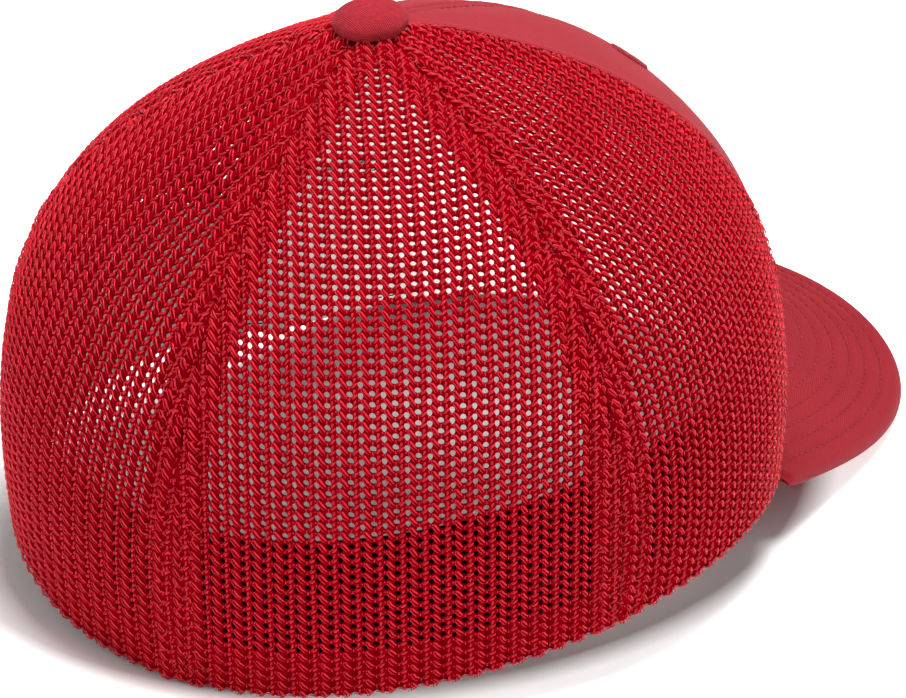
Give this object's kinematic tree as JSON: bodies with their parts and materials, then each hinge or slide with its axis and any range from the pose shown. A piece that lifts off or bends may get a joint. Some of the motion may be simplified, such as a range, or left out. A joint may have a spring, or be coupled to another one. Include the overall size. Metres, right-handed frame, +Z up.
{
  "type": "trucker mesh cap",
  "caption": "Trucker cap with a twill front and arched visor, knitted mesh sides and back, a closed stretch-fit rim, a covered top button and an inner sweatband.",
  "frame": {"origin": "centre of the head opening, on the level plane that the rear rim and the visor's lowest edges rest on", "axes": "+Z up through the crown, the visor points along -Y, the wearer's right is -X"},
  "size_m": [0.1788, 0.2536, 0.132],
  "materials": {
    "front_twill": "cotton twill, matt with a soft sheen",
    "visor_twill": "cotton twill, matt",
    "buckram": "stiffened open weave",
    "mesh": "knitted polyester, satin yarn",
    "seam_tape": "woven cotton tape",
    "sweatband": "stretch woven band, matt",
    "visor_board": "matt polyethylene sheet",
    "eyelet_thread": "satin embroidery thread",
    "plated_steel": "pressed and plated",
    "label": "woven satin, blank"
  },
  "bodies": {
    "root": {"front_panel_right": "front_twill", "front_panel_left": "front_twill", "front_buckram_right": "buckram", "front_buckram_left": "buckram", "side_mesh_right": "mesh", "side_mesh_left": "mesh", "rear_mesh_right": "mesh", "rear_mesh_left": "mesh", "front_centre_tape": "seam_tape", "front_side_tape_right": "seam_tape", "front_side_tape_left": "seam_tape", "rear_side_tape_right": "seam_tape", "rear_side_tape_left": "seam_tape", "rear_centre_tape": "seam_tape", "sweatband": "sweatband", "visor_top_cover": "visor_twill", "visor_board": "visor_board", "visor_under_cover": "visor_twill", "eyelet_right": "eyelet_thread", "eyelet_left": "eyelet_thread"},
    "button": {"button_cover": "visor_twill", "button_shell": "plated_steel", "button_rivet": "plated_steel", "button_washer": "plated_steel"},
    "size_label": {"size_label": "label"},
    "care_label": {"care_label": "label"}
  },
  "joints": [
    {"name": "button_spin", "type": "hinge", "parent": "root", "child": "button", "pos_m": [0, 0.008, 0.129], "axis": [0, 0.1132, 0.9936], "continuous": true},
    {"name": "size_label_flap", "type": "hinge", "parent": "root", "child": "size_label", "pos_m": [0, 0.08349, 0.02883], "axis": [-1, 0, 0], "range_deg": [0, 150]},
    {"name": "care_label_flap", "type": "hinge", "parent": "root", "child": "care_label", "pos_m": [0.04067, 0.07143, 0.03221], "axis": [-0.869, 0.4949, 0], "range_deg": [0, 150]}
  ]
}
